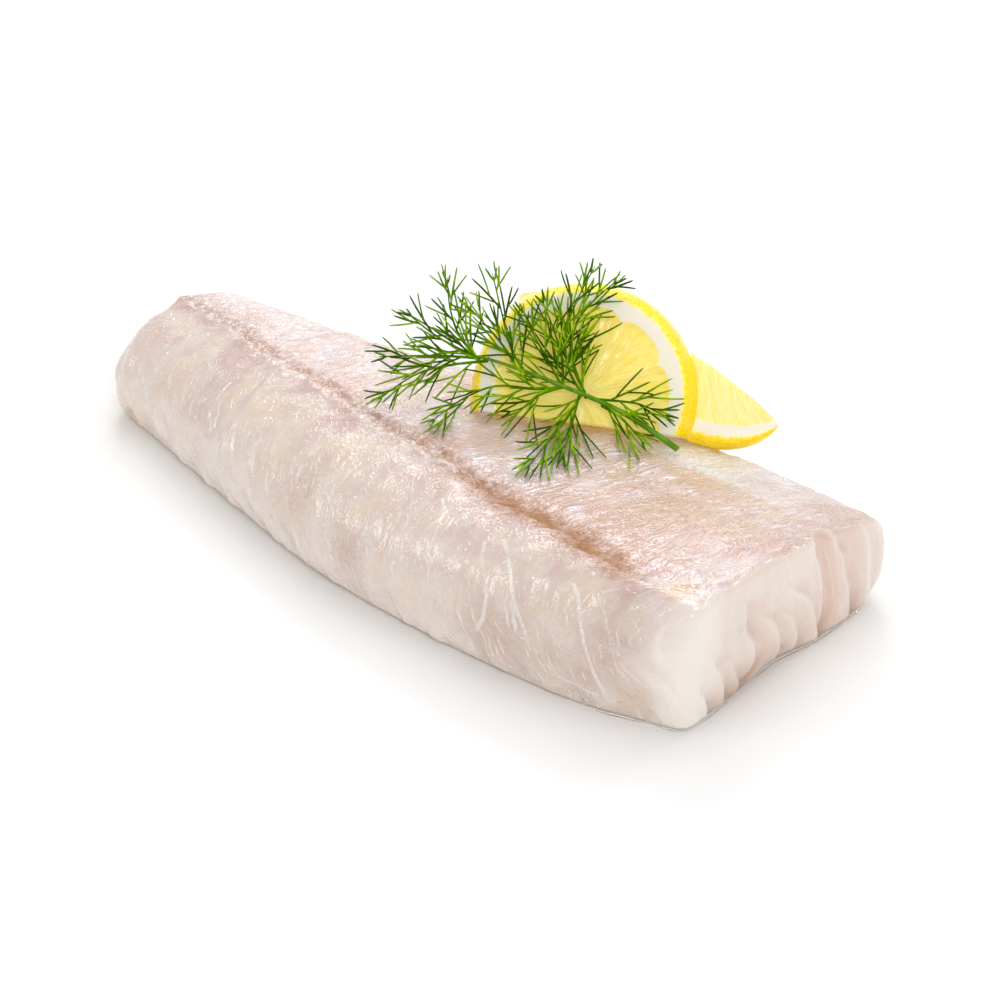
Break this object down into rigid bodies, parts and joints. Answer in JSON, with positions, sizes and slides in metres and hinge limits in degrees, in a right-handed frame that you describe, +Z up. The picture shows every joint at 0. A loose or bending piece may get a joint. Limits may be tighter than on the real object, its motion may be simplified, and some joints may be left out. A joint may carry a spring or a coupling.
{
  "type": "saithe loin",
  "caption": "Raw skinned saithe loin with a square cut end, a lemon slice, a lemon wedge and a dill sprig on top.",
  "frame": {"origin": "on the flat underside, under the middle of the loin", "axes": "+X along the loin towards its square cut end, +Z up, -Y towards the thicker flank in front of the centre line"},
  "size_m": [0.2227, 0.1105, 0.0732],
  "materials": {
    "fish": "wet raw white fish, satin and slightly see-through",
    "lemon_slice": "cut lemon, juicy flesh, matt white pith, waxy yellow rind",
    "lemon_wedge": "cut lemon, juicy flesh, matt white pith, waxy yellow rind",
    "dill": "fresh green herb, satin"
  },
  "bodies": {
    "root": {"loin": "fish", "lemon_slice": "lemon_slice", "lemon_wedge": "lemon_wedge", "dill_sprig": "dill"}
  },
  "joints": []
}
